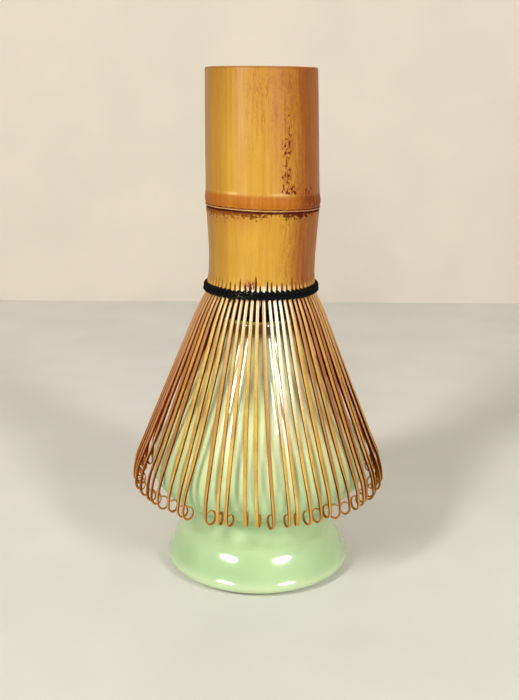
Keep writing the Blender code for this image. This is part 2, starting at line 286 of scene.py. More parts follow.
class Recipe:
    """A procedural material under construction. Each method adds a node and returns its output."""

    def __init__(self, name):
        self.material = bpy.data.materials.new(name)
        self.material.use_nodes = True
        self.tree = self.material.node_tree
        self.shader = self.tree.nodes["Principled BSDF"]

    def feed(self, socket, value):
        if isinstance(value, bpy.types.NodeSocket):
            self.tree.links.new(value, socket)
        elif socket.type == "RGBA":
            socket.default_value = (*value, 1.0)
        else:
            socket.default_value = value

    def add(self, kind, output, inputs, **settings):
        node = self.tree.nodes.new(kind)
        for key, value in settings.items():
            setattr(node, key, value)
        for socket, value in inputs.items():
            self.feed(node.inputs[socket], value)
        return node.outputs[output]

    def value(self, name):
        return self.add("ShaderNodeAttribute", "Fac", {}, attribute_name=name)

    def place(self, stretch):
        """The point on the object in millimetres, each axis multiplied by stretch."""
        point = self.add("ShaderNodeTexCoord", "Object", {})
        scale = tuple(s / MM for s in stretch)
        return self.add("ShaderNodeMapping", "Vector", {"Vector": point, "Scale": scale})

    def noise(self, stretch, detail=3.0, roughness=0.55):
        return self.add("ShaderNodeTexNoise", "Fac", {"Vector": self.place(stretch), "Scale": 1.0,
                                                      "Detail": detail, "Roughness": roughness})

    def cells(self, stretch):
        return self.add("ShaderNodeTexVoronoi", "Distance", {"Vector": self.place(stretch), "Scale": 1.0})

    def range(self, value, low, high, to_low=0.0, to_high=1.0):
        return self.add("ShaderNodeMapRange", "Result",
                        {"Value": value, "From Min": low, "From Max": high, "To Min": to_low,
                         "To Max": to_high}, interpolation_type="SMOOTHSTEP")

    def math(self, operation, a, b=0.0):
        return self.add("ShaderNodeMath", "Value", {0: a, 1: b}, operation=operation)

    def chain(self, operation, factors):
        result = factors[0]
        for factor in factors[1:]:
            result = self.math(operation, result, factor)
        return result

    def mask(self, *factors):
        """The product of factors."""
        return self.chain("MULTIPLY", factors)

    def most(self, *factors):
        """The largest of factors."""
        return self.chain("MAXIMUM", factors)

    def band(self, value, low, high, soft):
        """1 between low and high, fading over soft on both sides."""
        return self.mask(self.range(value, low - soft, low + soft),
                         self.range(value, high - soft, high + soft, 1.0, 0.0))

    def toward(self, azimuth, inner, outer):
        """1 where the side of the object faces azimuth, 0 beyond outer degrees from it."""
        point = self.add("ShaderNodeTexCoord", "Object", {})
        flat = self.add("ShaderNodeVectorMath", "Vector", {0: point, 1: (1, 1, 0)}, operation="MULTIPLY")
        unit = self.add("ShaderNodeVectorMath", "Vector", {0: flat}, operation="NORMALIZE")
        facing = (cos(radians(azimuth)), sin(radians(azimuth)), 0)
        dot = self.add("ShaderNodeVectorMath", "Value", {0: unit, 1: facing}, operation="DOT_PRODUCT")
        return self.range(dot, cos(radians(outer)), cos(radians(inner)))

    def mix(self, factor, a, b):
        node = self.tree.nodes.new("ShaderNodeMix")
        node.data_type = "RGBA"
        self.feed(node.inputs[0], factor)
        self.feed(node.inputs[6], a)
        self.feed(node.inputs[7], b)
        return node.outputs[2]

    def bump(self, height, distance, strength=1.0):
        return self.add("ShaderNodeBump", "Normal",
                        {"Height": height, "Distance": distance * MM, "Strength": strength})

    def finish(self, **inputs):
        for name, value in inputs.items():
            self.feed(self.shader.inputs[name.replace("_", " ")], value)
        return self.material


def skin_ground(r, height, fibre, streak):
    """Honey gold, with painted shade toward the top, on the left flank and in a strip right of the middle,
    browner on the right (partly painted shade) and near the left edge, a painted rim light on the right edge.
    """
    cloud = r.noise((0.16, 0.16, 0.05), detail=2.0)
    colour = r.mix(r.range(streak, 0.35, 0.68), srgb(188, 142, 34), srgb(180, 130, 27))
    colour = r.mix(r.range(cloud, 0.42, 0.66, 0.0, 0.5), colour, srgb(194, 148, 44))
    colour = r.mix(r.range(fibre, 0.50, 0.72, 0.0, 0.17), colour, srgb(150, 92, 26))
    # Painted shade: the skin darkens toward the top of the handle.
    shade_toward_top = r.range(height, 8.0, 34.0, 0.0, 0.42)
    colour = r.mix(shade_toward_top, colour, srgb(150, 92, 14))

    # Painted shade: a browner strip just right of the middle, dimming the skin where the lamps light it most.
    right_of_middle = r.mask(r.toward(-68, 3, 16), r.range(height, -6.0, 26.0, 0.05, 0.5))
    colour = r.mix(right_of_middle, colour, srgb(162, 92, 4))
    # Browner down the right side: partly the culm's own reddish-brown, partly painted shade.
    right_side = r.mask(r.toward(-24, 14, 40), r.range(streak, 0.25, 0.60, 0.65, 1.0), 0.88)
    colour = r.mix(right_side, colour, srgb(142, 66, 6))
    # Painted rim light: a lighter, yellower line along the right edge.
    lit_right_rim = r.mask(r.toward(0, 4, 14), 0.7)
    colour = r.mix(lit_right_rim, colour, srgb(176, 140, 58))
    # Painted shade: a darker left flank.
    shaded_left_flank = r.mask(r.toward(-158, 22, 38), 0.4)
    colour = r.mix(shaded_left_flank, colour, srgb(156, 106, 30))
    left_edge = r.mask(r.toward(-163, 5, 20), r.range(fibre, 0.30, 0.62, 0.8, 1.0), 0.5)
    return r.mix(left_edge, colour, srgb(140, 98, 30))


def skin_stains(r, colour, height, mottle):
    """Brown mottling over the front and down the right side."""
    more_at_top = r.range(height, 6.0, 30.0, 0.15, 1.0)
    stain = r.mask(r.toward(-84, 5, 27), more_at_top, r.range(mottle, 0.48, 0.60), 0.75)
    colour = r.mix(stain, colour, srgb(142, 60, 6))
    side_stain = r.mask(r.toward(-50, 5, 24), r.range(mottle, 0.44, 0.60), 0.55)
    return r.mix(side_stain, colour, srgb(132, 56, 6))


def skin_specks(r, colour, height):
    """A line of dark specks that gathers above the node. Returns the colour and where the specks are."""
    noise = r.noise((2.1, 2.1, 1.05), detail=4.0, roughness=0.7)
    line = r.mask(r.toward(-64, 0, 9), r.range(height, 8.0, 31.0, 0.28, 0.15))
    clump = r.mask(r.toward(-59, 0, 16), r.range(height, 3.6, 11.0, 0.33, 0.0))
    corner = r.mask(r.toward(-38, 0, 14), r.range(height, 3.6, 8.0, 0.31, 0.0))
    above_band = r.range(height, 3.0, 3.8)
    crowded = r.mask(r.math("ADD", noise, r.most(line, clump, corner)), above_band)
    halo = r.range(crowded, 0.74, 0.82, 0.0, 0.85)
    colour = r.mix(halo, colour, srgb(150, 58, 6))
    speck = r.range(crowded, 0.80, 0.85)
    return r.mix(speck, colour, srgb(88, 14, 0)), speck


def node_bands(r, colour, height, streak, mottle):
    """The node from its band down to the soot under its ridge. Returns the colour, the band and the lines."""
    band = r.mask(r.band(height, 0.2, 3.3, 0.6), r.range(streak, 0.3, 0.7, 0.60, 0.85))
    colour = r.mix(band, colour, srgb(158, 80, 0))
    scorched = r.mask(r.band(height, 0.3, 3.4, 0.5), r.toward(-24, 6, 34), r.range(mottle, 0.40, 0.58), 0.8)
    colour = r.mix(scorched, colour, srgb(92, 26, 2))
    glint_noise = r.noise((0.2, 0.2, 0.02), detail=2.0)
    glint = r.mask(r.band(height, 3.45, 3.95, 0.3), r.range(glint_noise, 0.44, 0.56), r.toward(-98, 20, 46),
                   0.3)
    colour = r.mix(glint, colour, srgb(246, 216, 150))

    crust_noise = r.math("ADD", r.noise((1.3, 1.3, 1.5), detail=5.0, roughness=0.8),
                         r.range(height, -2.9, -0.5, 0.0, 0.20))
    crust_sides = r.most(r.toward(-128, 26, 66), r.mask(r.toward(-52, 6, 26), 0.9))
    crust = r.mask(r.band(height, -3.6, -0.4, 0.3),
                   r.range(r.math("ADD", crust_noise, r.mask(crust_sides, 0.19)), 0.76, 0.83))
    colour = r.mix(r.mask(crust, 0.95), colour, srgb(74, 6, 0))
    soot = r.mask(r.range(height, -7.0, -0.9, 0.0, 0.34), r.range(height, -0.7, -0.4, 1.0, 0.0),
                  r.toward(-140, 20, 75))
    colour = r.mix(soot, colour, srgb(158, 92, 22))

    ridge_noise = r.noise((0.9, 0.9, 0.9), detail=3.0)
    dark_line = r.mask(r.band(height, -0.76, -0.18, 0.08), r.range(ridge_noise, 0.30, 0.50, 0.72, 1.0))
    colour = r.mix(dark_line, colour, srgb(72, 14, 2))
    pale_line = r.mask(r.band(height, -0.12, 0.02, 0.05), r.range(ridge_noise, 0.40, 0.56, 1.0, 0.3))
    colour = r.mix(pale_line, colour, srgb(216, 170, 122))
    upper_line = r.mask(r.band(height, 0.05, 0.36, 0.07), r.range(ridge_noise, 0.40, 0.60, 1.0, 0.6))
    colour = r.mix(upper_line, colour, srgb(84, 28, 10))
    return colour, band, r.most(dark_line, upper_line, crust)


def split_edge(r, colour, height, fine):
    """The lower edge: pale points between the splits, near-white toward the front as a painted sheen,
    a bruise beside the long split, dark splits.
    """
    # The points are pale; toward the front they turn near-white as a painted sheen.
    pale = r.mix(r.toward(-86, 10, 34), srgb(228, 180, 100), srgb(255, 248, 222))
    colour = r.mix(r.mask(r.value("root"), r.range(fine, 0.35, 0.62, 1.0, 0.75)), colour, pale)
    bruise = r.mask(r.toward(-100, 3, 9), r.band(height, -19.0, -16.6, 0.6), r.range(fine, 0.45, 0.52), 0.95)
    colour = r.mix(bruise, colour, srgb(110, 30, 4))
    return r.mix(r.value("slit"), colour, srgb(80, 8, 2))


def cut_bamboo(r, fibre):
    """Straw-coloured end grain with brown pores."""
    pores = r.range(r.cells((1.9, 1.9, 1.9)), 0.12, 0.30, 1.0, 0.0)
    colour = r.mix(r.mask(pores, 0.7), srgb(214, 172, 104), srgb(128, 78, 34))
    return r.mix(r.range(fibre, 0.45, 0.70, 0.0, 0.4), colour, srgb(176, 122, 58))


def skin_material():
    """Varnished old bamboo skin: honey gold with painted shade and light, brown mottling, the node's bands
    and the split edge.
    """
    r = Recipe("bamboo_skin")
    height, cut = r.value("node_height"), r.value("cut")
    fibre = r.noise((7.0, 7.0, 0.10), detail=4.0)
    streak = r.noise((1.2, 1.2, 0.03), detail=3.0)
    fine = r.noise((4.0, 4.0, 1.1), detail=4.0, roughness=0.7)
    mottle = r.math("ADD", r.mask(fine, 0.6), r.mask(r.noise((1.3, 1.3, 0.22), detail=3.0), 0.4))

    colour = skin_ground(r, height, fibre, streak)
    colour = skin_stains(r, colour, height, mottle)
    colour, speck = skin_specks(r, colour, height)
    colour, node_band, node_lines = node_bands(r, colour, height, streak, mottle)
    top = HANDLE_TOP_Z - NODE_Z
    top_line = r.mask(r.band(height, top - 0.45, top + 0.1, 0.12), 0.75)
    colour = r.mix(top_line, colour, srgb(122, 62, 20))
    colour = split_edge(r, colour, height, fine)
    colour = r.mix(cut, colour, cut_bamboo(r, fibre))

    right_of_middle = r.toward(-64, 4, 22)
    dull = r.most(cut, node_lines, r.mask(node_band, 0.6), r.mask(right_of_middle, 0.3), r.mask(speck, 0.8))
    grain = r.math("ADD", r.mask(fibre, 0.6), r.noise((14.0, 14.0, 0.16), detail=2.0))
    roughness = r.math("ADD", r.range(fibre, 0.35, 0.70, 0.36, 0.46), r.mask(dull, 0.35))
    return r.finish(Base_Color=colour, Roughness=roughness, Coat_Weight=r.range(dull, 0.0, 0.6, 0.12, 0.0),
                    Coat_Roughness=0.22, Specular_IOR_Level=r.range(dull, 0.0, 0.8, 0.36, 0.1),
                    Normal=r.bump(grain, 0.05, 0.3))


def tine_skin(r, along, shade, fibre):
    """The flat front of a tine: gold, redder at the sides, cream near the roots, with a painted sheen
    and a painted glare toward the front.
    """
    patch = r.noise((0.5, 0.5, 0.05), detail=2.0)
    skin = r.mix(r.range(patch, 0.38, 0.64), srgb(206, 164, 56), srgb(186, 138, 34))
    skin = r.mix(r.range(shade, 0.45, 1.0, 0.0, 0.8), skin, srgb(150, 94, 18))
    right_side = r.mask(r.toward(-20, 10, 50), 0.55)
    skin = r.mix(right_side, skin, srgb(196, 114, 20))
    dark_on_right = r.mask(r.toward(-30, 20, 60), r.range(shade, 0.62, 0.85, 0.0, 0.55))
    skin = r.mix(dark_on_right, skin, srgb(142, 54, 4))
    left_edge = r.mask(r.toward(-178, 14, 48), 0.6)
    skin = r.mix(left_edge, skin, srgb(158, 78, 10))
    toward_tip = r.range(along, 0.60, 1.10, 0.0, 0.7)
    skin = r.mix(toward_tip, skin, srgb(188, 136, 42))
    # Cream near the roots, stronger toward the front, where it is painted sheen.
    pale_and_sheen = r.math("ADD", r.mask(r.toward(-90, 8, 40), 0.45), 0.22)
    cream = r.mask(r.range(along, 0.0, 0.55, 1.0, 0.0), r.range(shade, 0.0, 1.0, 1.0, 0.6), pale_and_sheen)
    skin = r.mix(cream, skin, srgb(238, 198, 142))
    # Painted highlight: a near-white glare on the upper tines just right of the front.
    painted_glare = r.mask(r.toward(-74, 4, 13), r.range(along, 0.35, 0.75, 1.0, 0.0), 0.85)
    skin = r.mix(painted_glare, skin, srgb(244, 230, 200))
    return r.mix(r.range(fibre, 0.50, 0.72, 0.0, 0.5), skin, srgb(146, 80, 22))


def tine_side(r, along, front, fibre):
    """The split sides and the back of a tine: red-brown, darker on the right, lighter in the curl."""
    side = r.mix(r.range(fibre, 0.35, 0.65), srgb(136, 50, 8), srgb(86, 14, 2))
    side = r.mix(r.toward(-10, 20, 60), side, srgb(66, 6, 0))
    back = r.range(front, -0.9, -0.3, 1.0, 0.0)
    side = r.mix(back, side, srgb(80, 16, 0))
    in_curl = r.range(along, 0.85, 1.15, 0.0, 0.6)
    return r.mix(in_curl, side, srgb(180, 120, 40))


def tine_material():
    """Split bamboo: golden skin at the front, cream near the roots, red-brown split sides, painted shadow
    under the thread, inner tines in painted shade near their top.
    """
    r = Recipe("bamboo_tine")
    along, front, shade, inner = (r.value(name) for name in ("along", "front", "shade", "inner"))
    fibre = r.noise((5.0, 5.0, 0.14), detail=3.0)
    skin = tine_skin(r, along, shade, fibre)
    side = tine_side(r, along, front, fibre)
    colour = r.mix(r.range(front, 0.25, 0.80), side, skin)
    # Painted shadow: under the thread the sides and back of the tines go black at the front, dark red
    # elsewhere.
    shadow_under_thread = r.mask(r.range(along, 0.05, 0.30, 1.0, 0.0), r.range(front, 0.2, 0.75, 1.0, 0.0))
    colour = r.mix(shadow_under_thread, colour, r.mix(r.toward(-90, 25, 55), srgb(44, 4, 2), srgb(6, 2, 1)))

    # The inner tines in painted shade: nearly black near the thread, turning to pale straw lower down.
    pith = r.mix(r.range(along, 0.25, 0.6), srgb(8, 4, 2), srgb(206, 166, 96))
    colour = r.mix(inner, colour, r.mix(r.mask(fibre, 0.4), pith, srgb(60, 30, 10)))

    grain = r.noise((9.0, 9.0, 0.2), detail=2.0)
    outer = r.range(inner, 0.0, 1.0, 1.0, 0.1)
    return r.finish(Base_Color=colour, Roughness=r.range(front, 0.3, 0.9, 0.8, 0.28),
                    Coat_Weight=r.range(front, 0.3, 0.9, 0.0, 0.45), Coat_Roughness=0.16,
                    Specular_IOR_Level=r.mask(outer, r.range(front, 0.3, 0.9, 0.08, 0.45)),
                    Normal=r.bump(grain, 0.04, 0.4))


def thread_material():
    """Matt black twisted cotton with a little fuzz and a few painted pale glints."""
    r = Recipe("black_thread")
    fuzz = r.noise((9.0, 9.0, 9.0), detail=3.0)
    ply = r.noise((3.0, 3.0, 6.0), detail=2.0)
    colour = r.mix(r.range(fuzz, 0.45, 0.75), srgb(1, 1, 2), srgb(12, 11, 12))
    # Painted highlight: a few pale glints on the thread just left of the front.
    pale_and_sheen = r.mask(r.toward(-106, 4, 15), r.range(r.noise((1.6, 1.6, 6.0), detail=1.0), 0.64, 0.70))
    colour = r.mix(pale_and_sheen, colour, srgb(150, 138, 108))
    return r.finish(Base_Color=colour, Roughness=0.8, Specular_IOR_Level=0.15,
                    Normal=r.bump(r.math("ADD", fuzz, ply), 0.06, 0.6))


def glaze_material():
    """Celadon glaze: pale on the bell (partly painted light), deeper on the foot (partly painted shade),
    painted shade round the lip with a painted bright line along it, bare where it stands.
    """
    r = Recipe("celadon_glaze")
    cloud = r.noise((0.06, 0.06, 0.04), detail=2.0)
    mist = r.noise((1.4, 1.4, 1.4), detail=3.0)
    foot = r.mix(r.range(cloud, 0.35, 0.65), srgb(162, 192, 140), srgb(174, 203, 150))
    # The bell's pale colour is partly painted light against the tines' shadows; its sides are paler still as
    # painted light.
    bell = r.mix(r.range(cloud, 0.35, 0.65), srgb(214, 224, 160), srgb(220, 230, 170))
    bell = r.mix(r.toward(-106, 20, 60), srgb(244, 249, 188), bell)
    # On the lower bell and the foot the colour deepens: partly the glaze's own green, partly painted shade
    # under the loops.
    colour = r.mix(r.value("bell"), foot, bell)
    # Darker green round the waist: partly glaze pooled there, partly painted shade under the bell.
    colour = r.mix(r.mask(r.value("pooled_glaze_and_shade"), 0.3), colour, srgb(122, 168, 106))
    # Paler low on the foot, and painted light on the foot's upper slope.
    colour = r.mix(r.mask(r.value("pale_rim_and_lit_slope"), 0.5), colour, srgb(203, 219, 175))
    # Painted shade: dark olive brown over the top of the holder round the lip, under the thread and dense
    # tines.
    colour = r.mix(r.mask(r.value("shade_under_lip"), 0.9), colour, srgb(84, 62, 26))
    # Painted light: a bright yellowish line along the top of the lip, lit up against the shade there.
    colour = r.mix(r.value("lip"), colour, srgb(232, 206, 120))
    colour = r.mix(r.range(mist, 0.55, 0.80, 0.0, 0.10), colour, srgb(214, 232, 190))
    bare = r.value("bare")
    clay = r.mix(r.noise((3.0, 3.0, 3.0)), srgb(206, 196, 176), srgb(176, 162, 138))
    colour = r.mix(bare, colour, clay)

    matt = r.most(bare, r.mask(r.value("dulled"), 0.8))
    waves = r.noise((0.16, 0.16, 0.10), detail=1.0)
    return r.finish(Base_Color=colour, Roughness=r.range(matt, 0.0, 1.0, 0.16, 0.85),
                    Coat_Weight=r.range(matt, 0.0, 1.0, 1.0, 0.0), Coat_Roughness=0.04,
                    Subsurface_Weight=r.range(bare, 0.0, 1.0, 0.10, 0.0), Subsurface_Scale=0.002,
                    Normal=r.bump(waves, 0.2, 0.2))


def stage_material(name, colour, roughness):
    """A plain matt surface with a faint unevenness."""
    r = Recipe(name)
    cloud = r.noise((0.02, 0.02, 0.02), detail=2.0)
    lighter = tuple(min(1.0, c * 1.06) for c in colour)
    return r.finish(Base_Color=r.mix(r.range(cloud, 0.3, 0.7), colour, lighter), Roughness=roughness,
                    Specular_IOR_Level=0.15)


# The culm ----------------------------------------------------------------------------------------------

def skin_radius(height):
    """Outer radius of the culm at a height, without the node's own relief."""
    return np.interp(height, SKIN_HEIGHTS, SKIN_RADII)


def node_relief(height):
    """Relief of the node against its height above the ridge: scar, ridge and swollen band."""
    return (0.17 * bell_curve(height, -0.05, 0.18) - 0.13 * bell_curve(height, -0.55, 0.17)
            - 0.09 * bell_curve(height, 0.42, 0.14) + 0.14 * bell_curve(height, 1.5, 1.3)
            + 0.05 * bell_curve(height, -1.5, 0.7))


def skin_heights():
    """Heights of the skin's rings, close together at the splits and at the node."""
    splits = np.arange(SKIRT_Z, THREAD_Z + 5.0, 0.14)
    below_node = np.arange(splits[-1] + 0.5, NODE_Z - 3.0, 1.3)
    node = np.arange(NODE_Z - 2.8, NODE_Z + 4.2, 0.13)
    above_node = np.arange(NODE_Z + 5.0, HANDLE_TOP_Z - 0.9, 1.5)
    rim = (HANDLE_TOP_Z - 0.55, HANDLE_TOP_Z - 0.35)
    return np.concatenate([splits, below_node, node, above_node, rim])


def split_tops():
    """Height of the upper end of each split."""
    tops = THREAD_Z + RANDOM.uniform(*SPLIT_TOP, TINES)
    count, higher = HIGHER_SPLITS
    tops[RANDOM.choice(TINES, count, replace=False)] += higher
    tops[round((tau + LONG_SPLIT_AZIMUTH) / PITCH)] = THREAD_Z + LONG_SPLIT
    return tops


def split_shape(height, top):
    """Half the width of a split and its depth at each height. Above its end only a hairline is left."""
    share = np.clip((top - height) / (top - SKIRT_Z), 0, 1)
    above = np.clip(height - top, 0, 3.0)
    half = SPLIT_WIDTH / 2 * share**0.45 + 0.012 + 0.045 * above
    return half, SPLIT_DEPTH * ease(share, 0.0, 0.35)


def skin_columns(heights, split_azimuths):
    """Azimuths and depths of the skin's columns at each height, and the crown of each column.

    From one split to the next there are ten columns: the split's middle, its wall and its edge, five across
    the strip of skin, and the edge and the wall of the next split. The crown is 1 in the strip's middle.
    """
    tops = split_tops()
    slants = RANDOM.normal(0, 0.010, TINES)
    leaning = (heights - SKIRT_Z) * ease(heights, THREAD_Z + 5, THREAD_Z)
    splits = []
    for azimuth, top, slant in zip(split_azimuths, tops, slants):
        half, depth = split_shape(heights, top)
        splits.append((azimuth, half / skin_radius(heights), depth, slant * leaning))
    columns, depths = [], []
    flat = np.zeros_like(heights)
    for index, (azimuth, half, depth, lean) in enumerate(splits):
        next_azimuth, next_half, next_depth, next_lean = splits[(index + 1) % TINES]
        full_turn = tau if index == TINES - 1 else 0.0
        left, right = azimuth + lean, next_azimuth + full_turn + next_lean
        # The strip's own columns keep a little away from the edges, which stay crisp.
        first, last = left + half * 1.35 + 0.002, right - next_half * 1.35 - 0.002
        span = last - first
        columns += [left, left + 0.62 * half, left + half]
        columns += [first, first + 0.22 * span, first + 0.5 * span, first + 0.78 * span, last]
        columns += [right - next_half, right - 0.62 * next_half]
        depths += [depth, depth * 0.85, depth * 0.10] + [flat] * 5 + [next_depth * 0.10, next_depth * 0.85]
    crowns = np.tile([0, 0, 0.25, 0.55, 0.9, 1.0, 0.9, 0.55, 0.25, 0], TINES)
    return np.array(columns).T, np.array(depths).T, crowns


def handle_skin(heights, azimuths, depths, crowns):
    """Points of the skin (ring, column, 3): round strips between the splits, the node, a fine grain."""
    near_splits = 1 - ease(heights, THREAD_Z + 1.6, THREAD_Z + 4.4)[:, None]
    near_node = bell_curve(heights, NODE_Z, 6.0)[:, None]
    roundness = wobble(azimuths, ((2, 0.4), (3, 2.1), (5, 4.0)), 0.035)
    grain = RANDOM.normal(0, 0.010, azimuths.shape[1])
    radius = (skin_radius(heights) + node_relief(heights - NODE_Z))[:, None]
    radius = radius + roundness + grain * (1 - near_splits)
    radius += near_splits * (crowns - 0.7) * 0.10 - depths
    uneven = wobble(azimuths, ((3, 1.0), (4, 5.2), (7, 2.6), (11, 0.7)), 0.10)
    z = heights[:, None] + (uneven - NODE_TILT * np.cos(azimuths)) * near_node
    return np.stack([radius * np.cos(azimuths), radius * np.sin(azimuths), z], 2)


def handle_ends(skin, azimuths):
    """Rings over the cut top down to the septum, and rings from under the septum down to the skirt."""
    edge = np.hypot(skin[-1, :, 0], skin[-1, :, 1])
    inside = skin_radius(HANDLE_TOP_Z) - CULM_WALL
    low_inside = skin_radius(SKIRT_Z) - CULM_WALL - 0.1
    septum_top, septum_bottom = NODE_Z + SEPTUM / 2, NODE_Z - SEPTUM / 2
    over = ((edge - 0.08, HANDLE_TOP_Z - 0.16), (edge - 0.24, HANDLE_TOP_Z - 0.03),
            (edge - 0.42, HANDLE_TOP_Z), (inside + 0.25, HANDLE_TOP_Z), (inside + 0.05, HANDLE_TOP_Z - 0.2),
            (inside, HANDLE_TOP_Z - 1.0), (inside - 0.05, HANDLE_TOP_Z - 12.0), (inside - 0.1, NODE_Z + 4.0),
            (inside - 0.5, NODE_Z + 2.0), (inside - 1.8, septum_top), (inside * 0.5, septum_top - 0.25))
    under = ((low_inside * 0.5, septum_bottom + 0.25), (low_inside - 1.6, septum_bottom),
             (low_inside, septum_bottom - 1.5), (low_inside, SKIRT_Z + 0.6), (low_inside, SKIRT_Z))
    return circles(over, azimuths[-1]), circles(under, azimuths[0])


def make_handle(material, split_azimuths):
    """The whole culm: split lower edge, node, cut top, hollow with its septum."""
    heights = skin_heights()
    azimuths, depths, crowns = skin_columns(heights, split_azimuths)
    skin = handle_skin(heights, azimuths, depths, crowns)
    over, under = handle_ends(skin, azimuths)
    rings = np.concatenate([under, skin, over])
    poles = [(0, 0, NODE_Z + SEPTUM / 2 - 0.4), (0, 0, NODE_Z - SEPTUM / 2 + 0.4)]
    verts = np.vstack([rings.reshape(-1, 3), poles])
    verts[:, 0] += np.interp(verts[:, 2], BOW_HEIGHTS, BOW)

    count = azimuths.shape[1]
    top_pole, under_pole = len(verts) - 2, len(verts) - 1
    last = (len(rings) - 1) * count
    faces = skin_faces(len(rings), count)
    faces += [(last + c, last + (c + 1) % count, top_pole) for c in range(count)]
    faces += [((c + 1) % count, c, under_pole) for c in range(count)]

    def spread(under_value, skin_values, over_values):
        """One value per vertex: the same under the skin, an array on it, one per ring over it."""
        below = np.full((len(under), count), under_value)
        beyond = np.repeat(np.array(over_values, float)[:, None], count, 1)
        return np.append(np.concatenate([below, skin_values, beyond]).ravel(), [over_values[-1], under_value])

    slit = np.clip(depths / SPLIT_DEPTH * 1.6, 0, 1)
    whiteness = 1 - ease(heights, THREAD_Z + 1.1, THREAD_Z + 2.7)[:, None]
    node_height = np.broadcast_to((heights - NODE_Z)[:, None], azimuths.shape)
    none = [0.0] * len(over)
    attributes = {
        "node_height": spread(-18.0, node_height, [HANDLE_TOP_Z - NODE_Z] * len(over)),
        "slit": spread(0.6, slit, none),
        "root": spread(0.0, whiteness * (1 - slit) * crowns**1.5, none),
        "cut": spread(1.0, np.zeros(azimuths.shape), [0.25, 0.8] + [1.0] * (len(over) - 2)),
    }
    handle = make_object("culm_skin", verts, faces, material, attributes)
    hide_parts("culm_handle")
    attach(handle, "handle")


# The tines ---------------------------------------------------------------------------------------------

def walk(radius, height, legs):
    """Stations (length so far, radius, height) along legs, starting straight down."""
    stations = [(0.0, radius, height)]
    heading, travelled = 0.0, 0.0
    for length, turn, rings in legs:
        step, bend = length / rings, turn / rings
        for _ in range(rings):
            middle = radians(heading + bend / 2)
            radius += step * sin(middle)
            height -= step * cos(middle)
            heading += bend
            travelled += step
            stations.append((travelled, radius, height))
    return np.array(stations)


def tine_line(stations, azimuth, drift, bow, push):
    """Points of a tine's middle line. Drift and bow turn it about the axis, push moves it outward."""
    travelled, radii, heights = stations.T
    share = travelled / travelled[-1]
    turned = azimuth + drift * share + bow * np.sin(pi * share)
    radii = radii + push * share**1.5
    rooted = BOW[0] * (1 - share) ** 2
    return share, np.stack([rooted + radii * np.cos(turned), radii * np.sin(turned), heights], 1)


def line_frame(line):
    """Along, outward and sideways unit vectors at each point of a line near the Z axis."""
    along = np.gradient(line, axis=0)
    along /= np.linalg.norm(along, axis=1)[:, None]
    outward = line * (1, 1, 0)
    outward -= (outward * along).sum(1)[:, None] * along
    outward /= np.linalg.norm(outward, axis=1)[:, None]
    return along, outward, np.cross(outward, along)


def curl(point, along, outward, sideways, size):
    """Points and frames of the loop at a tip: it bends toward the inner side, taller than wide."""
    step = radians(CURL_TURN) / CURL_STEPS
    points, outwards = [], []
    for index in range(CURL_STEPS):
        middle, end = (index + 0.5) * step, (index + 1) * step
        length = size * step / (1 - CURL_STRETCH * cos(2 * middle)) * (1 - CURL_TIGHTEN * index / CURL_STEPS)
        heading = along * cos(middle) - outward * sin(middle)
        point = point + heading * length + sideways * CURL_ASIDE
        points.append(point)
        outwards.append(outward * cos(end) + along * sin(end))
    return np.array(points), np.array(outwards), np.tile(sideways, (CURL_STEPS, 1))


def outer_tine(bundle, stations, azimuth, drift, width, shade, twist):
    """One outer tine from under the thread to the end of its curl."""
    push, bow = RANDOM.normal(0, 0.32), radians(RANDOM.normal(0, 0.45))
    share, line = tine_line(stations, azimuth, drift, bow, push)
    along, outward, sideways = line_frame(line)
    turning = (twist * ease(share, 0.74, 1.0))[:, None]
    outward, sideways = (outward * np.cos(turning) + sideways * np.sin(turning),
                         sideways * np.cos(turning) - outward * np.sin(turning))
    size = CURL_RADIUS * RANDOM.uniform(0.90, 1.10)
    loop, loop_outward, loop_sideways = curl(line[-1], along[-1], outward[-1], sideways[-1], size)
    position = np.concatenate([share, 1 + np.arange(1, CURL_STEPS + 1) / CURL_STEPS])
    widths = width * np.interp(position, (0.05, 0.3, 1, 2), (0.74, 0.95, 0.74, 0.44))
    thicknesses = np.interp(position, (0, 0.5, 0.9, 1.25, 2), (0.94, 0.84, 0.66, 0.34, 0.22))
    add_bar(bundle, np.vstack([line, loop]), np.vstack([outward, loop_outward]),
            np.vstack([sideways, loop_sideways]), widths, thicknesses, position, shade)


def add_bar(bundle, line, outward, sideways, widths, thicknesses, position, shade, inner=0.0):
    """A bar with flat faces and rounded edges along a line, with its values for the material."""
    out, side = np.array(BAR_OUTLINE).T
    rings = (line[:, None]
             + outward[:, None] * (out[None] * thicknesses[:, None] / 2)[..., None]
             + sideways[:, None] * (side[None] * widths[:, None] / 2)[..., None])
    bundle.add(rings, {"along": position[:, None], "front": out[None], "shade": np.full((1, 1), shade),
                       "inner": np.full((1, 1), inner)})


def between_splits(split_azimuths):
    """Middle azimuth and width (radians) of each strip between two splits."""
    closed = np.append(split_azimuths, split_azimuths[0] + tau)
    return (closed[:-1] + closed[1:]) / 2, np.diff(closed)


def finish_comb(bundle, material, kind, number):
    """The mesh of one comb, which takes the place of its section of the CAD model."""
    comb = bundle.build(f"{kind}_comb_{number:02d}", material)
    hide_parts(f"{kind}_tines_{number:02d}")
    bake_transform(comb)


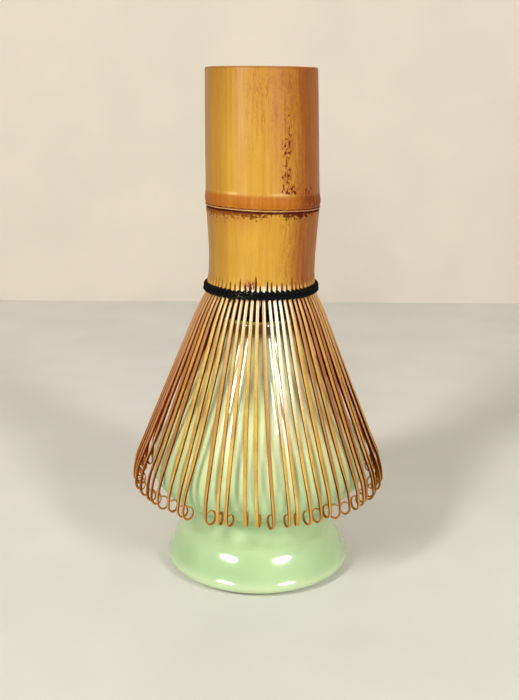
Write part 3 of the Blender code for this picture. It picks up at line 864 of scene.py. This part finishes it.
def make_outer_combs(material, split_azimuths):
    """Combs of skin-side tines. Their curls turn the other way on the left half than on the right."""
    stations = walk(OUTER_ROOT_RADIUS + SKIN_PROUD, TINE_TOP_Z, OUTER_LEGS)
    middles, spans = between_splits(split_azimuths)
    for number in range(SECTIONS):
        bundle = Bundle()
        for index in range(number * TINES_PER_SECTION, (number + 1) * TINES_PER_SECTION):
            azimuth = middles[index]
            drift = radians(DRIFT * sin(2 * (azimuth - DRIFT_AZIMUTH)) + RANDOM.normal(0, 1.0))
            width = spans[index] * OUTER_ROOT_RADIUS * RANDOM.uniform(*TINE_FILL)
            turning = 1.0 if cos(azimuth) > 0 else -1.0
            twist = turning * radians(RANDOM.uniform(*TIP_TWIST))
            outer_tine(bundle, stations, azimuth, drift, width, RANDOM.uniform(0, 1), twist)
        finish_comb(bundle, material, "outer", number + 1)


def make_inner_combs(material, split_azimuths):
    """Combs of pith-side tines, gathered into a bunch that goes down through the holder's hole."""
    stations = walk(INNER_ROOT_RADIUS, TINE_TOP_Z, INNER_LEGS)
    middles, _ = between_splits(split_azimuths)
    for number in range(SECTIONS):
        bundle = Bundle()
        for index in range(number * TINES_PER_SECTION, (number + 1) * TINES_PER_SECTION):
            drift = radians(RANDOM.normal(0, 1.2))
            share, line = tine_line(stations, middles[index], drift, 0.0, RANDOM.normal(0, 0.12))
            _, outward, sideways = line_frame(line)
            gathered = np.hypot(line[:, 0], line[:, 1]) / INNER_ROOT_RADIUS
            add_bar(bundle, line, outward, sideways, 0.80 * gathered, 0.55 * gathered**0.5, share, 0.15,
                    inner=1.0)
        finish_comb(bundle, material, "inner", number + 1)


# The thread --------------------------------------------------------------------------------------------

def thread_row(bundle, gaps, over, radius, strand, twist, wave):
    """A two-strand cord once around Z. At each gap between tines it sinks in and moves by wave."""
    steps = TINES * 12
    azimuth = KNOT_AZIMUTH + np.arange(steps) / steps * tau
    nearest = np.min(np.abs((azimuth[:, None] - gaps[None] + pi) % tau - pi), 1)
    at_gap = bell_curve(nearest, 0, PITCH * 0.22)
    heights = THREAD_Z + over + wave * at_gap + wobble(azimuth, ((2, 0.3), (5, 1.9), (9, 4.4)), 0.07)
    heights -= 0.5 * over * bell_curve(azimuth - KNOT_AZIMUTH, 0, 0.06)
    middle = radius - 0.7 * abs(wave) * at_gap
    spin = azimuth * TINES / 2 + pi / 2
    for phase in (0, pi):
        out = middle + twist * np.cos(spin + phase)
        line = np.stack([BOW[0] + out * np.cos(azimuth), out * np.sin(azimuth),
                         heights + twist * np.sin(spin + phase)], 1)
        bundle.add(tube(line, strand, closed=True), {}, closed=True)


def make_knot(bundle):
    """A small overhand knot lying flat on the binding, with two short cut ends."""
    turn = np.arange(72) / 72 * tau
    knot = np.stack([-0.9 * np.sin(3 * turn), np.sin(turn) + 2 * np.sin(2 * turn),
                     1.15 * (np.cos(turn) - 2 * np.cos(2 * turn))], 1) * KNOT_SCALE
    knot += (THREAD_RADIUS + 0.2, 0, THREAD_Z - 0.2)
    start = (THREAD_RADIUS, 0.2, THREAD_Z - 0.5)
    ends = [smooth_line([start, (THREAD_RADIUS + 0.35, 0.5 * side, THREAD_Z - 1.0),
                         (THREAD_RADIUS + 0.45, 0.7 * side, THREAD_Z - 1.6)], 0.25) for side in (-1, 1)]
    turned = np.array(Matrix.Rotation(KNOT_AZIMUTH, 3, "Z")).T
    for line, closed in ((knot, True), (ends[0], False), (ends[1], False)):
        placed = line @ turned + (BOW[0], 0, 0)
        bundle.add(tube(placed, THREAD_STRAND * 0.85, closed), {}, closed)


def make_threads(material, gaps):
    """The rows around the outside with their knot, and the turn between the outer and inner tines."""
    outer, inner = Bundle(), Bundle()
    for row in THREAD_ROWS:
        thread_row(outer, gaps, *row)
    make_knot(outer)
    thread_row(inner, gaps, *INNER_THREAD_ROW)
    for bundle, name, replaced in ((outer, "thread_binding", "thread_outer_rows"),
                                   (inner, "thread_between_combs", "thread_inner_row")):
        thread = bundle.build(name, material)
        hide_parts(replaced)
        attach(thread, "handle")


# The holder --------------------------------------------------------------------------------------------

def make_holder(material):
    """One turned piece: rolled lip, bell, waist and foot, hollow inside, bare where it stands."""
    lip = [(HOLE_RADIUS + LIP_RADIUS * (1 - cos(a)), HOLDER_LIP_Z - LIP_RADIUS * (1 - sin(a)))
           for a in np.linspace(-0.2, pi * 0.86, 14)]
    body = smooth_line([lip[-1], *HOLDER_OUTSIDE], 0.5)
    hollow = smooth_line(HOLDER_INSIDE, 1.6)
    outline = np.vstack([lip, body[1:], FOOT_RING, hollow])[::-1]
    heights = outline[:, 1]
    outside = np.arange(len(outline)) >= len(hollow)

    azimuths = np.arange(192) / 192 * tau
    thrown = 1 + wobble(azimuths, ((1, 0.5), (2, 2.2), (3, 4.1)), 0.0022)
    rings = circles([(radius * thrown, height) for radius, height in outline], azimuths)
    values = {
        # Where the bell's pale, partly painted-light colour takes over from the foot's deeper green.
        "bell": ease(heights, 22.0, 44.0),
        # Round the waist: partly pooled glaze, partly painted shade under the bell.
        "pooled_glaze_and_shade": bell_curve(heights, 16.8, 2.6),
        # Paler low on the foot; painted light on its upper slope.
        "pale_rim_and_lit_slope": np.maximum(ease(heights, 5.4, 2.6), bell_curve(heights, 12.2, 2.6)),
        # Painted shade round the lip.
        "shade_under_lip": ease(heights, HOLDER_LIP_Z - 5.2, HOLDER_LIP_Z - 2.2),
        # Painted light along the lip.
        "lip": ease(heights, HOLDER_LIP_Z - 0.7, HOLDER_LIP_Z - 0.35) * outside,
        "bare": np.maximum(ease(heights, 0.16, 0.04), np.where(outside, 0.0, 0.5)),
        "dulled": ease(heights, 9.4, 14.0) * ease(heights, 43.0, 31.0),
    }
    bundle = Bundle()
    bundle.add(rings, {key: array[:, None] for key, array in values.items()}, closed=True)
    holder = bundle.build("glazed_holder", material)
    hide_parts("ceramic_holder")
    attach(holder, "holder")


# Stage, light and camera -------------------------------------------------------------------------------

def make_stage():
    """A pale floor and a pale wall behind it."""
    left, right = (-STAGE_REACH, WALL_Y), (STAGE_REACH, WALL_Y)
    floor = ((-STAGE_REACH, -STAGE_REACH / 2, 0), (STAGE_REACH, -STAGE_REACH / 2, 0), (*right, 0), (*left, 0))
    wall = ((*left, 0), (*right, 0), (*right, STAGE_REACH), (*left, STAGE_REACH))
    for name, corners, colour, roughness in (("floor", floor, srgb(220, 219, 212), 0.7),
                                             ("wall", wall, srgb(212, 203, 190), 0.8)):
        material = stage_material("pale_" + name, colour, roughness)
        make_object(name, np.array(corners, float) / MM, [(0, 1, 2, 3)], material, {})


def lamp(name, azimuth, elevation, distance, size, watts, colour, mirrored):
    """An elliptic area light facing the middle of the object. A mirrored lamp is only seen in glossy
    surfaces and lights nothing. The others light the object and aren't seen in it."""
    light = bpy.data.lights.new(name, "AREA")
    light.shape = "ELLIPSE"
    light.size, light.size_y = size
    light.energy = watts
    light.color = colour
    thing = bpy.data.objects.new(name, light)
    bpy.context.scene.collection.objects.link(thing)
    target = Vector((0, 0, HOLDER_LIP_Z * MM))
    flat = distance * cos(radians(elevation))
    thing.location = target + Vector((flat * cos(radians(azimuth)), flat * sin(radians(azimuth)),
                                      distance * sin(radians(elevation))))
    thing.rotation_euler = (target - thing.location).to_track_quat("-Z", "Y").to_euler()
    thing.visible_diffuse = not mirrored
    thing.visible_glossy = mirrored


def make_lights():
    """Small key lights left and right, a broad front fill, and flat softboxes seen in the glaze."""
    warm, white = (1.0, 0.97, 0.92), (1.0, 1.0, 1.0)
    lamp("left_key", -128, 34, 0.9, (0.16, 0.16), 4.8, warm, False)
    lamp("right_key", -54, 30, 0.9, (0.16, 0.16), 3.2, warm, False)
    lamp("front_fill", -92, 14, 1.3, (0.5, 0.5), 5.5, warm, False)
    lamp("left_box", -135, 35, 0.9, (0.37, 0.17), 5.2, white, True)
    lamp("right_box", -53, 36, 0.9, (0.36, 0.17), 5.0, white, True)
    lamp("left_low_box", -128, 4, 0.9, (0.34, 0.11), 1.6, white, True)
    lamp("right_low_box", -56, 4, 0.9, (0.34, 0.11), 1.6, white, True)
    world = bpy.data.worlds.new("pale_sky")
    world.use_nodes = True
    background = world.node_tree.nodes["Background"]
    background.inputs["Color"].default_value = (1.0, 0.985, 0.96, 1.0)
    background.inputs["Strength"].default_value = 0.25
    bpy.context.scene.world = world


def make_camera():
    """The camera stands in front of the object and looks a little down, with a slight roll."""
    camera = bpy.data.cameras.new("camera")
    camera.lens = 49.3
    camera.sensor_width = 36.0
    camera.clip_start = 0.01
    view = bpy.data.objects.new("camera", camera)
    bpy.context.scene.collection.objects.link(view)
    down = Matrix.Rotation(radians(90 - CAMERA_DOWN), 4, "X")
    roll = Matrix.Rotation(radians(CAMERA_ROLL), 4, "Z")
    view.matrix_world = Matrix.Translation(CAMERA_PLACE) @ down @ roll
    bpy.context.scene.camera = view


def main():
    """Everything in turn. The order of the random draws runs through all of it."""
    jitter = RANDOM.uniform(-SPLIT_JITTER, SPLIT_JITTER, TINES)
    split_azimuths = (np.arange(TINES) + jitter) * PITCH
    make_handle(skin_material(), split_azimuths)
    tine = tine_material()
    make_outer_combs(tine, split_azimuths)
    make_inner_combs(tine, split_azimuths)
    make_threads(thread_material(), split_azimuths)
    make_holder(glaze_material())
    make_stage()
    make_lights()
    make_camera()
    bpy.context.scene.view_settings.view_transform = "Standard"


main()
